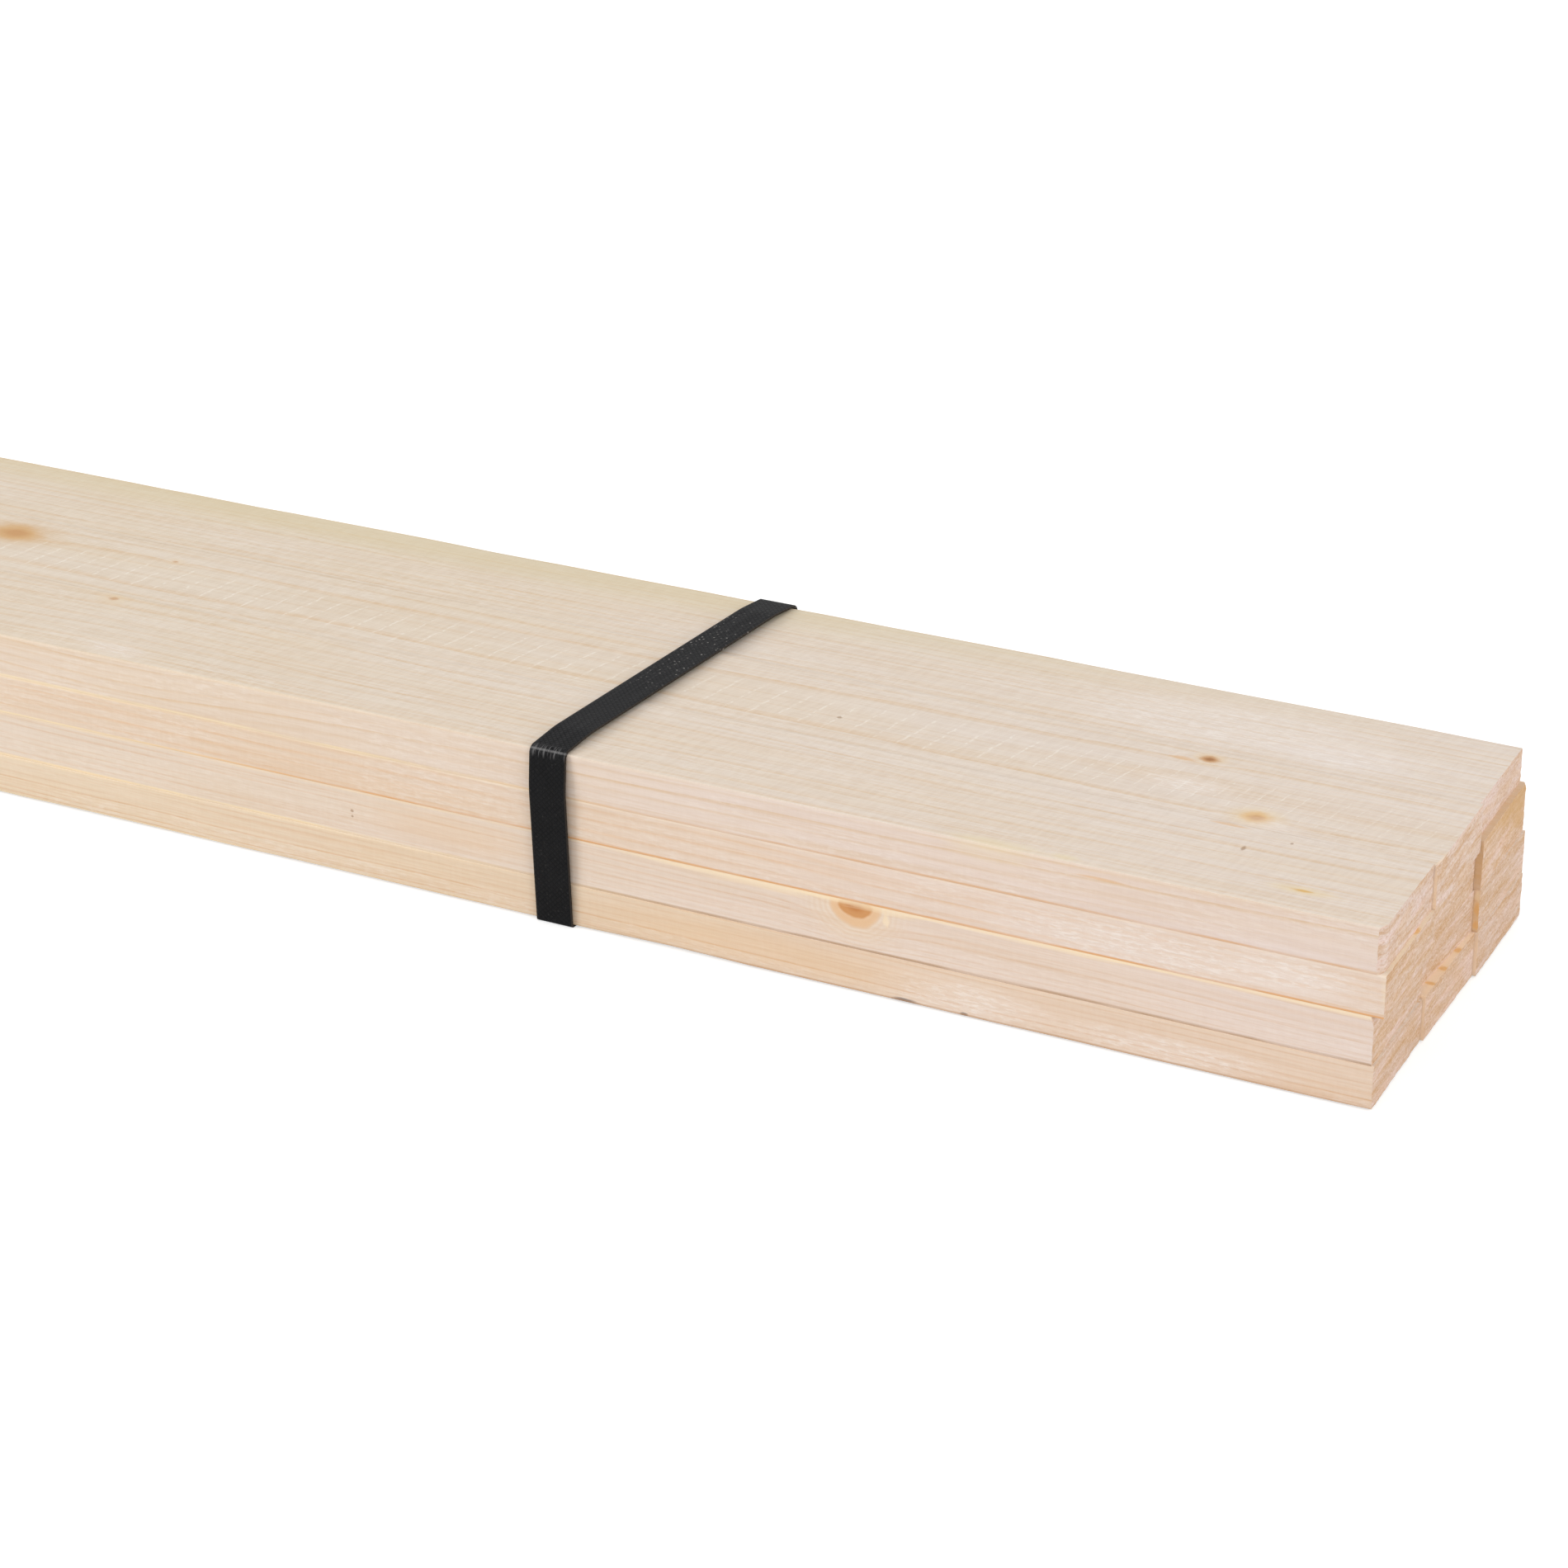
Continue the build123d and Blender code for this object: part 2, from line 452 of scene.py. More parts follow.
MARKS = {
    "top_near": [
        Mark("faint knot", 430, -27, 4.2, 2.8),
        Mark("pitch", 870, -56, 7, 1.6),
        Mark("speck", 845, -38, 0.8, 1.6),
        Mark("speck", 857, -29, 0.6, 0.6),
        Mark("streak", 836, -25, 7, 0.9),
        Mark("yellow", 776, -66.5, 10, 1.8),
        Mark("yellow", 799, -66, 3, 1.2),
        Mark("streak", 812, 57.8, 9, 0.5, "edge"),
        Mark("wave", 462, -62, 30, 60),
        Mark("outward", 800, -23, 45, 12),
        Mark("fuzz", 455, -62, 9, 3),
    ],
    "top_middle": [
        Mark("big knot", 363, 8, 12, 7.5),
        Mark("painted light ledge", 900.5, 52, 1.5, 12, "edge"),
        Mark("faint knot", 430, 10, 2.4, 1.6),
        Mark("streak", 806, 13, 5, 1.3),
        Mark("dark knot", 813.8, 15.6, 3.6, 2.5),
        Mark("pale knot", 841, -16, 5.6, 4.2),
        Mark("speck", 696, -6, 1.0, 0.9),
        Mark("outward", 855, 23, 50, 16),
        Mark("outward", 800, -23, 45, 12),
        Mark("fuzz", 813, -4, 9, 4),
        Mark("fuzz", 846, -19, 6, 3),
    ],
    "top_far": [
        Mark("outward", 855, 23, 50, 16),
        Mark("fuzz", 806, 42, 34, 12),
        Mark("fuzz", 850, 36, 14, 6),
        Mark("speck", 767, 22.8, 0.6, 0.6),
        Mark("olive", 500, 66, 190, 11),
    ],
    "upper_near": [
        Mark("fuzz", 825, 38, 32, 5, "edge"),
        Mark("fuzz", 872, 40, 14, 4, "edge"),
        Mark("cream", 901, -45, 4, 24),
        Mark("splinter", 899.5, -38, 1.6, 2.2),
    ],
    "lower_near": [
        Mark("knot ring", 731, 30.4, 9.4, 8.2, "edge"),
        Mark("knot heart", 731, 30.4, 6.4, 4.6, "edge"),
        Mark("cream", 690, 31.7, 40, 2.5, "edge"),
        Mark("cream", 735, 31.7, 26, 2.1, "edge"),
        Mark("cream", 741.5, 27.6, 1.3, 2.4, "edge"),
        Mark("cream", 790, 31.7, 46, 1.6, "edge"),
        Mark("cream", 865, 31.7, 60, 1.3, "edge"),
        Mark("glow", 588, 24, 22, 4, "edge"),
        Mark("speck", 549, 24, 0.7, 0.6, "edge"),
        Mark("speck", 549, 22, 0.5, 0.5, "edge"),
    ],
    "bottom_near": [
        Mark("fuzz", 768, 6, 18, 4, "edge"),
        Mark("fuzz", 835, 5, 22, 3, "edge"),
        Mark("glow", 700, 8, 40, 4, "edge"),
        Mark("dirt", 748, 1.2, 5.0, 0.8, "edge"),
        Mark("dirt", 768, 1.2, 1.6, 0.6, "edge"),
    ],
    "bottom_middle": [
        Mark("painted light ledge", 901, 0, 7, 34),
        Mark("painted light ledge", 900, 8, 4, 14, "edge"),
        Mark("splinter", 898.3, -14.6, 2.2, 1.0),
        Mark("splinter", 899.0, -4.1, 2.0, 1.4),
        Mark("splinter", 899.4, 8.9, 1.8, 1.6),
    ],
    "upper_far": [
        Mark("ochre", 900, 39, 4, 6, "edge"),
        Mark("ochre", 901, 45, 3, 20),
        Mark("ochre", 52, 46, 14, 3.2, "end"),
        Mark("ochre", 61, 40, 5, 3.5, "end"),
    ],
    "lower_far": [
        Mark("streak", 900, 24, 6, 10, "edge"),
        Mark("cream", 900.5, 28.5, 1.4, 2.0, "edge"),
        Mark("splinter", 900.5, 24, 1.2, 2.4, "edge"),
        Mark("splinter", 900.5, 18.5, 1.2, 1.6, "edge"),
    ],
    "bottom_far": [
        Mark("painted light ledge", 900, 8, 8, 10, "edge"),
    ],
}


# Wood: finishes

# Tones are written as they are seen, and filters are shares of red, green, blue and alpha.
WIDE_TONES = ((229, 216, 205), (227, 213, 196))
TUFT_TONE = (246, 238, 230)
SAW_TONE = (250, 240, 226)
TICK_TONE = (250, 244, 234)
# Pale painted highlight that the painted arris shading turns into towards the middle of the bundle
ARRIS_HIGHLIGHT_TONE = (246, 224, 186)
CLOUD_FILTER = (0.992, 0.975, 0.935, 1.0)
STREAK_FILTER = (0.80, 0.70, 0.58, 1.0)
# From where to where, out from the middle of the bundle, the tone changes and the ticks are worn off
TONE_CHANGE = (880.0, 430.0)
TICK_WEAR = (800.0, 890.0)
TICK_MIDDLE = -4.0
TICK_HALF_LENGTH = 11.0
PALE_FADE = 80.0
UNEVEN_JOINT = (26, 3, 3)
FACE_RELIEF = Relief(depth=0.25, strength=0.3, specular=0.2)

END_SPECK = (1.5, 1.2, 0.7)
END_HAIR = (1.5, 5.5, 0.7)
END_BAND = (8.0, 30.0, 2.2)
END_CLOUD = (30, 14, 4)
END_LATE = (206, 160, 122)
END_RIM = (244, 230, 210)
END_FILTER = (0.97, 0.91, 0.80, 1.0)
END_RELIEF = Relief(depth=0.4, strength=0.6, specular=0.2)
# What paints an end, from the bottom up: a texture, from where to where on it, how strongly and the tone
END_PAINT = [
    ("band", (0.36, 0.5), (0.5, 0.0), (204, 162, 120)),
    ("band", (0.5, 0.64), (0.0, 0.55), (238, 212, 204)),
    ("speck", (0.36, 0.5), (0.5, 0.0), (196, 152, 112)),
    ("hair", (0.34, 0.48), (0.36, 0.0), (198, 152, 108)),
    ("speck", (0.52, 0.66), (0.0, 0.5), (244, 228, 222)),
    ("hair", (0.52, 0.66), (0.0, 0.42), (242, 222, 214)),
]


def ring_pattern(tree, place, log, swell, seed):
    """The rings of a log where they are cut by a face."""
    across, high = log.pith
    shift = {"Vector": place, "Location": (0.0, -across, -high), "Rotation": (0.0, log.climb, 0.0)}
    about_pith = tree.node("ShaderNodeMapping", shift).outputs[0]
    return tree.group(
        growth_rings, place=about_pith, first_ring=log.first_ring, ring_width=log.ring_width,
        squeeze=log.squeeze, wander=log.wander, swell=swell, seed=seed,
    )


def lay_marks(tree, place, key, faces):
    """A batten's marks on the given faces, each as its kind and its shape."""
    low, high = (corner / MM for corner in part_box("batten_" + key))
    laid = []
    for mark in MARKS.get(key, []):
        if mark.face not in faces:
            continue
        kind = MARK_KINDS[mark.kind]
        depth = max(mark.half_width, LEAST_MARK_DEPTH)
        if mark.face == "edge":
            centre = (mark.along, low.y, mark.across)
            half_size = (mark.half_length, depth, mark.half_width)
        elif mark.face == "end":
            centre = (high.x, mark.along, mark.across)
            half_size = (depth, mark.half_length, mark.half_width)
        else:
            centre = (mark.along, mark.across, high.z)
            half_size = (mark.half_length, mark.half_width, depth)
        shape = tree.group(
            mark_shape, place=place, centre=centre, half_size=half_size, ragged=kind.ragged, bend=kind.bend,
        )
        laid.append((mark.kind, shape))
    return laid


def mark_effects(tree, laid):
    """How far marks push the rings aside, and where they leave the wood fuzzy."""
    swell, fuzz = 0.0, 0.0
    for kind, shape in laid:
        if MARK_KINDS[kind].bend:
            swell = tree.math("ADD", shape["Swell"], swell)
        if kind == "fuzz":
            fuzz = tree.math("MAXIMUM", shape["Halo"], fuzz)
    return swell, fuzz


def paint_marks(tree, colour, laid):
    """A colour with the marks painted over it."""
    for kind, shape in laid:
        for part, tone, strength in MARK_KINDS[kind].paint:
            colour = tree.paint(colour, tree.product(shape[part], strength), tone)
    return colour


def paint_arris_shading(tree, colour, place, outward, timber, seed):
    """A colour with painted light laid over it along the arrises: painted shade in the joint grooves and
    painted highlights on the arrises.
    """
    arris = tree.attribute("arris")
    uneven = tree.ramp(tree.noise(tree.stretched(place, UNEVEN_JOINT), seed), 0.32, 0.6, 0.4, 1.0)
    # Painted shade at the lower arris and painted highlight at the upper arris
    for way, joint in ((-1.0, timber.lower_arris_shading), (1.0, timber.upper_arris_shading)):
        pale = tree.ramp(outward, joint.pale_to + PALE_FADE, joint.pale_to - PALE_FADE)
        tint = tree.paint(seen(*joint.tone), pale, ARRIS_HIGHLIGHT_TONE)
        share = tree.product(tree.ramp(arris, 0.1 * way, 0.7 * way, 0.0, joint.strength), uneven)
        colour = tree.mix(share, colour, tint)
    return colour


def sawn_face(key, timber, seed, ticks):
    """The long faces of a batten: the wide ones as the mill left them and the ripped edges."""
    material, tree, shader = new_finish("sawn face " + key)
    place = tree.place()
    outward = tree.math("ABSOLUTE", tree.split(place)["X"])
    wide = tree.ramp(tree.math("ABSOLUTE", tree.facing_up()), 0.3, 0.9)
    laid = lay_marks(tree, place, key, ("upper", "edge"))
    swell, fuzz = mark_effects(tree, laid)
    rings = ring_pattern(tree, place, timber.log, swell, seed)
    late = rings["Late"]
    if timber.edge_log:
        edge_late = ring_pattern(tree, place, timber.edge_log, swell, seed)["Late"]
        narrow = tree.math("SUBTRACT", 1.0, wide)
        late = tree.math("ADD", tree.product(late, wide), tree.product(edge_late, narrow))
    grain = tree.group(fibres, place=place, seed=seed)
    inland = tree.ramp(outward, *TONE_CHANGE)
    tones = [tree.paint(seen(*at_end), inland, away) for at_end, away in (timber.edge, WIDE_TONES)]
    colour = tree.mix(wide, *tones)
    colour = tree.paint(colour, tree.product(grain["Line"], 0.2), timber.late)
    colour = tree.paint(colour, tree.product(late, timber.contrast), timber.late)
    colour = tree.mix(tree.ramp(grain["Cloud"], 0.36, 0.66), colour, CLOUD_FILTER, "MULTIPLY")
    shade = tree.ramp(grain["Streak"], 0.0, 1.0, 0.24, 0.0)
    colour = tree.mix(shade, colour, STREAK_FILTER, "MULTIPLY")
    saw = tree.product(grain["Saw"], tree.ramp(wide, 0.0, 1.0, 0.04, 0.14))
    colour = tree.paint(colour, saw, SAW_TONE)
    open_grain = tree.math("MULTIPLY_ADD", rings["Inside"], -0.75, 1.0)
    patch = tree.product(grain["Patch"], timber.torn, open_grain)
    torn = tree.product(grain["Tuft"], tree.math("MAXIMUM", patch, fuzz))
    colour = tree.paint(colour, tree.product(torn, 0.55), TUFT_TONE)
    if ticks:
        tick = tree.group(saw_ticks, place=place, middle=TICK_MIDDLE, half_length=TICK_HALF_LENGTH)["Tick"]
        worn_off = tree.ramp(outward, *TICK_WEAR, 0.45, 0.25)
        colour = tree.paint(colour, tree.product(tick, wide, worn_off), TICK_TONE)
    colour = paint_marks(tree, colour, laid)
    colour = paint_arris_shading(tree, colour, place, outward, timber, seed)
    height = tree.math("MULTIPLY_ADD", grain["Streak"], 0.5, torn)
    height = tree.math("MULTIPLY_ADD", grain["Saw"], 0.25, height)
    roughness = tree.ramp(late, 0.0, 1.0, 0.8, 0.66)
    lay_surface(tree, shader, colour, roughness, height, FACE_RELIEF)
    return material


def end_grain(key, timber, tone, seed):
    """The sawn end of a batten: torn across by the saw, with short hairs along the cut."""
    material, tree, shader = new_finish("end grain " + key)
    place = tree.place()
    late = ring_pattern(tree, place, timber.log, 0.0, seed)["Late"]
    texture = {
        "speck": tree.noise(tree.stretched(place, END_SPECK), seed, detail=4.0, rough=0.7),
        "hair": tree.noise(tree.stretched(place, END_HAIR), seed + 4.0, detail=4.0, rough=0.65),
        "band": tree.noise(tree.stretched(place, END_BAND), seed + 8.0, detail=3.0),
    }
    cloud = tree.noise(tree.stretched(place, END_CLOUD), seed)
    colour = tree.paint(seen(*tone), tree.product(late, 0.2), END_LATE)
    for name, reach, strength, laid_tone in END_PAINT:
        colour = tree.paint(colour, tree.ramp(texture[name], *reach, *strength), laid_tone)
    colour = tree.mix(tree.ramp(cloud, 0.4, 0.62), colour, END_FILTER, "MULTIPLY")
    rim = tree.ramp(tree.math("ABSOLUTE", tree.attribute("arris")), 0.1, 0.9, 0.0, 0.35)
    colour = tree.paint(colour, rim, END_RIM)
    colour = paint_marks(tree, colour, lay_marks(tree, place, key, ("end",)))
    height = tree.math("MULTIPLY_ADD", texture["hair"], 0.8, texture["speck"])
    roughness = tree.ramp(texture["speck"], 0.3, 0.7, 0.95, 0.82)
    lay_surface(tree, shader, colour, roughness, height, END_RELIEF)
    return material


# Pieces

def round_off(shape, items, offset, segments=2, affect="EDGES"):
    bmesh.ops.bevel(
        shape, geom=items, offset=offset, offset_type="OFFSET", segments=segments, profile=0.5,
        affect=affect, material=-1,
    )


def to_mesh(shape, name):
    mesh = bpy.data.meshes.new(name)
    shape.to_mesh(mesh)
    shape.free()
    return mesh


def add_object(name, content):
    """Puts a mesh, a lamp or a camera into the scene."""
    made = bpy.data.objects.new(name, content)
    bpy.context.scene.collection.objects.link(made)
    return made


def add_piece(mesh, node):
    """Puts a mesh into the scene in place of its CAD node."""
    piece = add_object(mesh.name, mesh)
    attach(piece, "root")
    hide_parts(node)


# Battens

BLANK_LENGTH = 1800.0
BLANK_WIDTH = 45.0
BLANK_THICKNESS = 15.0
ARRIS = 0.12
ARRIS_TOLERANCE = 0.01
STATION_STEP = 14.0
END_STATIONS = [0.6, 1.4, 2.4, 3.8, 5.6, 8.0]
END_ZONE = END_STATIONS[-1]
CELL = 1.0
CUT_TOLERANCE = 1e-5
FACE_WAVE = 0.2
FACE_WAVE_LENGTH = 90.0
FACE_WAVE_WIDTH = 20.0
ARRIS_WEAR = 0.3
ARRIS_WEAR_LENGTH = 30.0
END_ROUGHNESS = 0.3
END_FRAY = 0.35
END_TEAR_WIDTH = 2.2
END_TEAR_HEIGHT = 1.6
END_FACING = 0.6


class Chip(NamedTuple):
    """Wood broken off a right end along one edge or corner of its outline: which side across and which
    up (-1, 1 or 0 for all along it), how far over the end it reaches and how deep it goes."""
    across: int
    upward: int
    reach: float
    depth: float

    def depth_at(self, across, upward):
        """Depth at a place on the end, given as shares of the width and the thickness from the middle."""
        aside = (0.5 - self.across * across) * BLANK_WIDTH if self.across else 0.0
        above = (0.5 - self.upward * upward) * BLANK_THICKNESS if self.upward else 0.0
        return self.depth * max(0.0, 1.0 - math.hypot(aside, above) / self.reach)


CHIPS = {
    "top_near": Chip(-1, 0, 2.8, 1.7),
    "upper_far": Chip(1, 1, 1.6, 0.6),
    "lower_near": Chip(-1, 1, 3.0, 0.9),
    "top_middle": Chip(-1, 1, 3.0, 0.7),
}


class Site:
    """Where a vertex lies on its batten: shares of the length from the left end, and of the width and the
    thickness from the middle, the distance from the nearer end, whether it is on a side and on a flat
    face, and whether those are on the outside of the bundle."""

    def __init__(self, place, layer, column):
        self.along = place.x / BLANK_LENGTH + 0.5
        self.across = place.y / BLANK_WIDTH
        self.upward = place.z / BLANK_THICKNESS
        self.from_end = BLANK_LENGTH / 2 - abs(place.x)
        self.on_side = (0.5 - abs(self.across)) * BLANK_WIDTH < ARRIS + ARRIS_TOLERANCE
        self.on_flat = (0.5 - abs(self.upward)) * BLANK_THICKNESS < ARRIS + ARRIS_TOLERANCE
        self.side_open = column == ("near" if self.across < 0 else "far")
        self.flat_open = layer == ("bottom" if self.upward < 0 else "top")


def batten_blank():
    """A batten of nominal size about the origin, in millimetres, with eased arrises and cut into cells."""
    blank = bmesh.new()
    bmesh.ops.create_cube(blank, size=1.0)
    bmesh.ops.scale(blank, vec=(BLANK_LENGTH, BLANK_WIDTH, BLANK_THICKNESS), verts=blank.verts)
    long_edges = [edge for edge in blank.edges if edge.calc_length() > BLANK_LENGTH / 2]
    round_off(blank, long_edges, ARRIS)
    half = BLANK_LENGTH / 2
    between = BLANK_LENGTH - 2 * END_ZONE
    steps = round(between / STATION_STEP)
    stations = [-half + distance for distance in END_STATIONS]
    stations += [half - distance for distance in END_STATIONS]
    stations += [-half + END_ZONE + step * between / steps for step in range(1, steps)]
    cut_across(blank, stations, Vector((1, 0, 0)))
    cut_across(blank, cell_lines(BLANK_WIDTH), Vector((0, 1, 0)))
    cut_across(blank, cell_lines(BLANK_THICKNESS), Vector((0, 0, 1)))
    return to_mesh(blank, "batten blank")


def cell_lines(size):
    """Evenly spaced cuts over a face between its two arrises."""
    count = round(size / CELL)
    flat = size - 2 * ARRIS
    return [-flat / 2 + number * flat / count for number in range(1, count)]


def cut_across(blank, places, direction):
    for place in places:
        geometry = list(blank.verts) + list(blank.edges) + list(blank.faces)
        bmesh.ops.bisect_plane(
            blank, geom=geometry, plane_co=direction * place, plane_no=direction, dist=CUT_TOLERANCE,
        )


def right_end(node):
    """How far the near and the far side of a batten's right end reach."""
    low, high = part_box(node)
    middle = (low.y + high.y) / 2
    corners = [vertex.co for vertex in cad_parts[node].data.vertices]
    near = max(corner.x for corner in corners if corner.y < middle)
    far = max(corner.x for corner in corners if corner.y > middle)
    return near, far


def wear_faces(place, site, seed):
    """Moves a place in by the waves of the open faces it is on, and by the wear of an open arris."""
    long, wide = FACE_WAVE_LENGTH * MM, FACE_WAVE_WIDTH * MM
    spot = Vector((place.x / long, place.y / wide, place.z / wide)) + seed
    on_open_side = site.on_side and site.side_open
    on_open_flat = site.on_flat and site.flat_open
    if on_open_side:
        place.y -= math.copysign(FACE_WAVE * MM * abs(noise.noise(spot)), site.across)
    if on_open_flat:
        spot.z += 50.0
        place.z -= math.copysign(FACE_WAVE * MM * abs(noise.noise(spot)), site.upward)
    if on_open_side and on_open_flat:
        spot = Vector((place.x / (ARRIS_WEAR_LENGTH * MM), site.across * 9, site.upward * 9)) + seed
        wear = ARRIS_WEAR * MM * max(0.0, noise.noise(spot) + 0.1)
        place.y -= math.copysign(wear, site.across)
        place.z -= math.copysign(wear, site.upward)


def torn_depth(place, site, seed, chip):
    """How far an end is torn back at a place, in millimetres."""
    across = place.y / (END_TEAR_WIDTH * MM)
    upward = place.z / (END_TEAR_HEIGHT * MM)
    rough = 0.5 + 0.5 * noise.noise(Vector((across, upward, 3.0 * round(site.along))) + seed)
    depth = (END_FRAY if site.on_side or site.on_flat else END_ROUGHNESS) * rough
    if chip and site.along > 0.5:
        depth += chip.depth_at(site.across, site.upward) * (0.6 + 0.8 * rough)
    return depth * (1.0 - site.from_end / END_ZONE)


def timber_of(layer, column):
    """The kind of a batten. In the middle column only the top one shows."""
    if column == "far":
        return TIMBERS[FAR_TIMBERS[layer]]
    if column == "near" or layer == "top":
        return TIMBERS[layer]
    return TIMBERS["hidden"]


def shape_batten(blank, layer, column, number):
    """One batten from the blank: set into its place, with worn arrises, waves and torn ends."""
    key = f"{layer}_{column}"
    node = "batten_" + key
    low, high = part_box(node)
    size = high - low
    middle = (low + high) / 2
    near_end, far_end = right_end(node)
    seed = Vector((0.0, 40.0 * number, 17.0 * number))
    batten = bmesh.new()
    batten.from_mesh(blank)
    arris = batten.verts.layers.float.new("arris")
    for vertex in batten.verts:
        site = Site(vertex.co, layer, column)
        end = near_end + (far_end - near_end) * (site.across + 0.5)
        place = Vector((
            low.x + site.along * (end - low.x),
            middle.y + site.across * size.y,
            middle.z + site.upward * size.z,
        ))
        wear_faces(place, site, seed)
        if site.from_end < END_ZONE:
            depth = torn_depth(place, site, seed, CHIPS.get(key))
            place.x -= math.copysign(depth * MM, site.along - 0.5)
        if site.on_side and site.on_flat and site.side_open:
            vertex[arris] = math.copysign(1, site.upward)
        vertex.co = place
    batten.normal_update()
    for face in batten.faces:
        face.smooth = True
        face.material_index = 1 if abs(face.normal.x) > END_FACING else 0
    for edge in batten.edges:
        edge.smooth = edge.link_faces[0].material_index == edge.link_faces[1].material_index
    mesh = to_mesh(batten, node + "_sawn")
    timber = timber_of(layer, column)
    end_tone = END_TONES[layer][COLUMNS.index(column)]
    wood_seed = 0.0 if layer == "top" else float(number)
    mesh.materials.append(sawn_face(key, timber, wood_seed, layer == "top"))
    mesh.materials.append(end_grain(key, timber, end_tone, wood_seed))
    add_piece(mesh, node)


# Straps

CREASE_RADIUS = 2.0
BULGE_REACH = 13.0
BULGE_RADIUS = 40.0
WELD_LENGTH = 30.0
FOLD_REACH = 4.0
LANES = 12
ROUTE_STEP = 2.0
SEGMENT_TURN = 6.0
FEWEST_SEGMENTS = 4
RIM = 0.14
RIM_TURN = math.radians(60)
STRAP_SKEWS = {"strap_right": 5.2, "strap_left": -2.5}


class Corner(NamedTuple):
    """A corner of a strap's route, seen along the battens, with the radius of its bend."""
    across: float
    high: float
    radius: float = 0.0

    def point(self):
        return Vector((0.0, self.across, self.high))


def strap_route(node):
    """Corners of the middle of the band, in millimetres. It goes up the far side, over the top, down the
    near side and back underneath. Also gives the band's thickness and the two corners where it is folded
    sharply."""
    strap_low, strap_high = (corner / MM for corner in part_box(node))
    bottom = min(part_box(f"batten_bottom_{column}")[0].z for column in COLUMNS) / MM
    near_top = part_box("batten_top_near")[1].z / MM
    far_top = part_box("batten_top_far")[1].z / MM
    thickness = bottom - strap_low.z
    half = thickness / 2
    outer = strap_high.y - half
    inner = outer - thickness
    # The band stands as far off the wood at the bulges on both sides, and off the top by the same.
    bulge = strap_high.z - near_top - half
    near_side = strap_low.y + half + bulge
    far_side = inner - bulge
    turn = math.radians(90) - 2 * math.atan((bulge - half) / BULGE_REACH)
    crease = CREASE_RADIUS * (1 / math.cos(turn / 2) - 1) * math.cos(math.radians(45)) + half
    bend = CREASE_RADIUS + half
    weld_middle = (bottom + far_top) / 2
    under = strap_low.z + half
    near_fold = Corner(near_side - crease, near_top + crease, bend)
    far_fold = Corner(far_side + crease, far_top + crease, bend)
    corners = [
        Corner(outer, weld_middle - WELD_LENGTH / 2),
        Corner(outer, far_top - BULGE_REACH, BULGE_RADIUS),
        far_fold,
        Corner(far_side - BULGE_REACH, far_top + bulge, BULGE_RADIUS),
        Corner(near_side + BULGE_REACH, near_top + bulge, BULGE_RADIUS),
        near_fold,
        Corner(near_side - bulge, near_top - BULGE_REACH, BULGE_RADIUS),
        Corner(near_side - crease, under, crease),
        Corner(inner, under, bulge),
        Corner(inner, weld_middle + WELD_LENGTH / 2),
    ]
    return corners, thickness, [near_fold, far_fold]


def bent_line(corners):
    """A chain of edges through the corners, with each bend rounded, cut into short steps."""
    line = bmesh.new()
    points = [line.verts.new(corner.point()) for corner in corners]
    for first, second in zip(points, points[1:]):
        line.edges.new((first, second))
    bends = []
    for before, point, after, corner in zip(points, points[1:], points[2:], corners[1:]):
        turn = (point.co - before.co).angle(after.co - point.co)
        segments = max(FEWEST_SEGMENTS, round(math.degrees(turn) / SEGMENT_TURN))
        bends.append((point.co.copy(), corner.radius * math.tan(turn / 2), segments))
    for place, offset, segments in bends:
        point = min(line.verts, key=lambda vertex: (vertex.co - place).length)
        round_off(line, [point], offset, segments, "VERTICES")
    for edge in list(line.edges):
        cuts = int(edge.calc_length() / ROUTE_STEP)
        if cuts:
            bmesh.ops.subdivide_edges(line, edges=[edge], cuts=cuts)
    return line


def run_along(line, start):
    """How far along the chain each vertex lies, from the vertex nearest to start."""
    vertex = min(line.verts, key=lambda other: (other.co - start).length)
    runs, travelled = {vertex: 0.0}, 0.0
    while True:
        onward = [edge for edge in vertex.link_edges if edge.other_vert(vertex) not in runs]
        if not onward:
            return runs
        travelled += onward[0].calc_length()
        vertex = onward[0].other_vert(vertex)
        runs[vertex] = travelled


def draw_out(band, width):
    """Draws a chain of edges out along X into a strip of lanes."""
    front = list(band.edges)
    for lane in range(LANES):
        made = bmesh.ops.extrude_edge_only(band, edges=front)["geom"]
        fresh = [item for item in made if isinstance(item, bmesh.types.BMVert)]
        edges = [item for item in made if isinstance(item, bmesh.types.BMEdge)]
        front = [edge for edge in edges if edge.verts[0] in fresh and edge.verts[1] in fresh]
        bmesh.ops.translate(band, vec=(width / LANES, 0.0, 0.0), verts=fresh)
    bmesh.ops.recalc_face_normals(band, faces=band.faces)
    band.normal_update()


def thicken(band, thickness):
    """Gives a strip its thickness, half of it to either side."""
    for vertex in band.verts:
        vertex.co += vertex.normal * thickness / 2
    made = bmesh.ops.extrude_face_region(band, geom=list(band.faces), use_keep_orig=True)["geom"]
    band.normal_update()
    inner = [item for item in made if isinstance(item, bmesh.types.BMVert)]
    for vertex in inner:
        vertex.co -= vertex.normal * thickness
    bmesh.ops.recalc_face_normals(band, faces=band.faces)


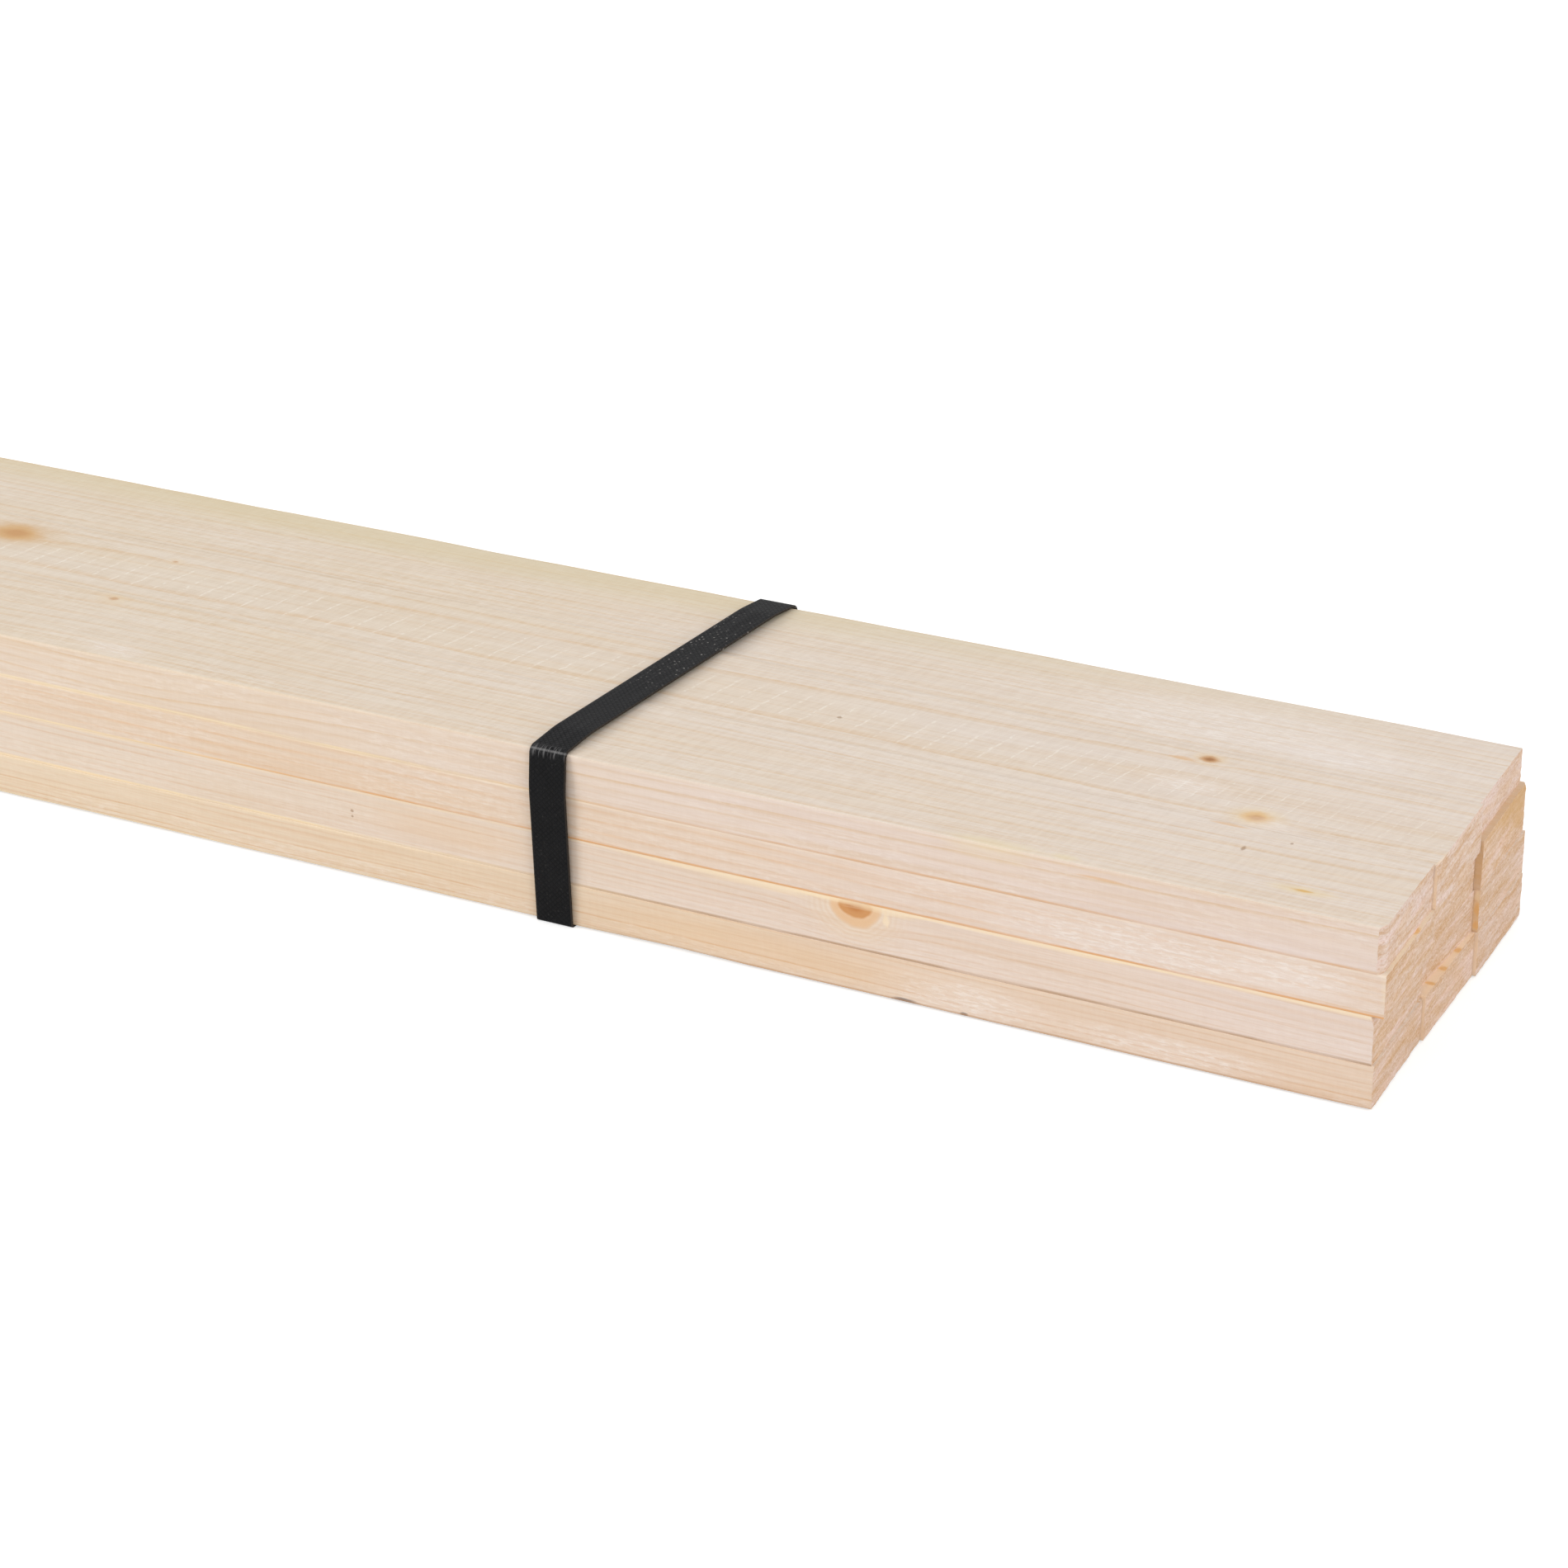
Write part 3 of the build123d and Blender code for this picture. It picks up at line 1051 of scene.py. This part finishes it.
def bend_strap(node, plastic):
    """A band of plastic bent round the bundle, a little skewed, with its ends welded on the far side."""
    corners, thickness, folds = strap_route(node)
    low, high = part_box(node)
    skew = math.tan(math.radians(STRAP_SKEWS[node]))
    middle = (low.x + high.x) / 2 / MM
    width = (high.x - low.x) / MM - abs(skew) * (high.y - low.y) / MM
    band = bent_line(corners)
    run_layer = band.verts.layers.float.new("run")
    lane_layer = band.verts.layers.float.new("lane")
    fold_layer = band.verts.layers.float.new("fold")
    for vertex, run in run_along(band, corners[0].point()).items():
        vertex[run_layer] = run
        nearest = min((vertex.co - fold.point()).length for fold in folds)
        vertex[fold_layer] = max(0.0, 1.0 - nearest / FOLD_REACH)
    draw_out(band, width)
    for vertex in band.verts:
        vertex[lane_layer] = vertex.co.x - width / 2
    thicken(band, thickness)
    for vertex in band.verts:
        vertex.co.x += middle - width / 2 + vertex.co.y * skew
    round_off(band, [edge for edge in band.edges if edge.calc_face_angle(0.0) > RIM_TURN], RIM)
    bmesh.ops.scale(band, vec=(MM, MM, MM), verts=band.verts)
    for face in band.faces:
        face.smooth = True
    mesh = to_mesh(band, node + "_band")
    mesh.materials.append(plastic)
    add_piece(mesh, node)


# Straps: finish

BLACK = (9, 9, 10)
MOTTLED_BLACK = (15, 15, 16)
# Painted sheen on the embossed diamonds
EMBOSSING_SHEEN_TONE = (42, 42, 44)
# Stress whitening of the plastic along a fold, with a painted glint on the crease
CREASE_WHITENING_AND_GLINT = (160, 158, 158)
# Painted highlight along the edges of the band
EDGE_HIGHLIGHT_TONE = (84, 74, 64)
DUST_TONE = (176, 171, 166)
MOTTLE = (4, 4, 4)
EMBOSSING = 0.95
EDGE_HIGHLIGHT_REACH = (6.0, 6.4)
DUST_CELL = (1.3, 1.3, 1.3)
DUST_MIDDLE = 18.0
DUST_FADE = (10.0, 46.0)
RIB = 0.9
PLAIN_WELD = 4.0
STRAP_RELIEF = Relief(depth=0.1, strength=0.6, specular=0.08)


def strap_plastic():
    """Black strapping: embossed in small diamonds, with a painted sheen on them that is stronger on faces
    turned up, drawn out lengthwise, whitened where it is folded with a painted glint on the crease, with a
    painted highlight along its edges, dusty on top and ribbed where its ends are welded."""
    material, tree, shader = new_finish("black strapping")
    place = tree.place()
    run, lane, fold = (tree.attribute(name) for name in ("run", "lane", "fold"))
    first = tree.math("PINGPONG", tree.math("ADD", run, lane), EMBOSSING)
    second = tree.math("PINGPONG", tree.math("SUBTRACT", run, lane), EMBOSSING)
    diamonds = tree.ramp(tree.math("MINIMUM", first, second), 0.05, 0.5)
    lengthwise = tree.join(tree.product(run, 0.02), tree.product(lane, 2.2), 0.0)
    drawn = tree.noise(lengthwise, 1.0, detail=3.0)
    mottle = tree.noise(tree.stretched(place, MOTTLE), 1.0, detail=3.0)
    colour = tree.paint(seen(*BLACK), tree.ramp(mottle, 0.3, 0.7), MOTTLED_BLACK)
    # Painted sheen: the embossed diamonds are painted lighter, more strongly on faces turned up
    sheen_facing_up = tree.ramp(tree.facing_up(), 0.2, 0.9, 0.16, 0.44)
    colour = tree.paint(colour, tree.product(diamonds, sheen_facing_up), EMBOSSING_SHEEN_TONE)
    # Stress whitening along the folds and a painted glint: a bright line at the crease with fine teeth
    # below it
    hairline = tree.join(tree.product(run, 0.15), tree.product(lane, 2.6), 0.0)
    teeth = tree.noise(hairline, 4.0)
    whitening_and_glint = tree.product(tree.ramp(fold, 0.76, 0.85), tree.ramp(teeth, 0.3, 0.6, 0.25, 0.7))
    faint = tree.product(tree.ramp(fold, 0.15, 0.8, 0.0, 0.3), tree.ramp(teeth, 0.48, 0.62))
    colour = tree.paint(colour, tree.math("MAXIMUM", whitening_and_glint, faint), CREASE_WHITENING_AND_GLINT)
    # Painted highlight: a thin brownish light line along both edges of the band
    edge = tree.ramp(tree.math("ABSOLUTE", lane), *EDGE_HIGHLIGHT_REACH, 0.0, 0.3)
    colour = tree.paint(colour, edge, EDGE_HIGHLIGHT_TONE)
    spots = {"Vector": tree.stretched(place, DUST_CELL), "Scale": 1.0}
    cells = tree.node("ShaderNodeTexVoronoi", spots).outputs
    speck = tree.ramp(cells["Distance"], 0.12, 0.34, 1.0, 0.0)
    kept = tree.ramp(tree.split(cells["Color"])["X"], 0.5, 1.0)
    aside = tree.math("ABSOLUTE", tree.math("SUBTRACT", tree.split(place)["Y"], DUST_MIDDLE))
    settled = tree.ramp(aside, *DUST_FADE, 1.0, 0.05)
    colour = tree.paint(colour, tree.product(speck, kept, settled, 0.7), DUST_TONE)
    ribbed_length = WELD_LENGTH - PLAIN_WELD
    welded = tree.ramp(run, ribbed_length, ribbed_length + 1.0, 1.0, 0.0)
    ribs = tree.product(tree.math("PINGPONG", run, RIB), welded)
    height = tree.math("MULTIPLY_ADD", drawn, 0.4, tree.math("MULTIPLY_ADD", ribs, 2.0, diamonds))
    roughness = tree.ramp(drawn, 0.3, 0.7, 0.45, 0.6)
    lay_surface(tree, shader, colour, roughness, height, STRAP_RELIEF)
    return material


# Stage

CAMERA_PLACE = Vector((1.1932, -1.0296, 0.5997))
CAMERA_AIM = Vector((0.7079, -0.0696, 0.0679))
CAMERA_ROLL = math.radians(-0.72)
LENS = 90.4
FLOOR_SIZE = 24.0
FLOOR_GREY = (0.7, 0.7, 0.7, 1.0)
FLOOR_ROUGHNESS = 0.9
FLOOR_GLOW = 0.5
WHITE = (1.0, 1.0, 1.0, 1.0)
AMBIENT = 0.7
LAMP_AIM = Vector((0.65, 0.0, 0.04))
LAMP_DISTANCE = 3.0


def point_at(thing, place, target, roll=0.0):
    """Sets a camera or a lamp at a place and turns it to a target."""
    turn = (target - place).to_track_quat("-Z", "Y") @ Quaternion((0, 0, 1), roll)
    thing.matrix_world = Matrix.Translation(place) @ turn.to_matrix().to_4x4()


def set_camera():
    lens = bpy.data.cameras.new("camera")
    lens.lens = LENS
    camera = add_object("camera", lens)
    point_at(camera, CAMERA_PLACE, CAMERA_AIM, CAMERA_ROLL)
    bpy.context.scene.camera = camera


def plain_view(tree):
    """1 for what the camera sees straight, in a reflection or through glass, and otherwise 0."""
    path = tree.node("ShaderNodeLightPath", {}).outputs
    direct = tree.math("MAXIMUM", path["Is Camera Ray"], path["Is Glossy Ray"])
    return tree.math("MAXIMUM", direct, path["Is Transmission Ray"])


def lay_floor():
    floor = bmesh.new()
    bmesh.ops.create_grid(floor, x_segments=1, y_segments=1, size=FLOOR_SIZE / 2)
    mesh = to_mesh(floor, "floor")
    piece = add_object("floor", mesh)
    material, tree, shader = new_finish("pale floor")
    shader.inputs["Base Color"].default_value = FLOOR_GREY
    shader.inputs["Roughness"].default_value = FLOOR_ROUGHNESS
    shader.inputs["Emission Color"].default_value = WHITE
    tree.feed(shader.inputs["Emission Strength"], tree.product(plain_view(tree), FLOOR_GLOW))
    mesh.materials.append(material)


def light_studio():
    world = bpy.data.worlds.new("studio")
    bpy.context.scene.world = world
    world.use_nodes = True
    tree = Wiring(world.node_tree)
    background = world.node_tree.nodes["Background"]
    background.inputs["Color"].default_value = WHITE
    strength = tree.math("MULTIPLY_ADD", plain_view(tree), 1.0 - AMBIENT, AMBIENT)
    tree.feed(background.inputs["Strength"], strength)
    add_lamp("key", Vector((-0.73, -0.58, 0.36)), size=1.2, watts=36.0)
    add_lamp("fill", Vector((0.85, -0.3, 0.45)), size=2.4, watts=34.0)


def add_lamp(name, direction, size, watts):
    """A square lamp that shines on the bundle from a direction."""
    lamp = bpy.data.lights.new(name, "AREA")
    lamp.shape = "SQUARE"
    lamp.size = size
    lamp.energy = watts
    place = LAMP_AIM + direction.normalized() * LAMP_DISTANCE
    point_at(add_object(name, lamp), place, LAMP_AIM)


# Assembly

blank = batten_blank()
for number, (layer, column) in enumerate(itertools.product(LAYERS, COLUMNS), start=1):
    shape_batten(blank, layer, column, number)
bpy.data.meshes.remove(blank)
plastic = strap_plastic()
for node in STRAP_SKEWS:
    bend_strap(node, plastic)
lay_floor()
light_studio()
set_camera()
bpy.context.scene.view_settings.view_transform = "Standard"
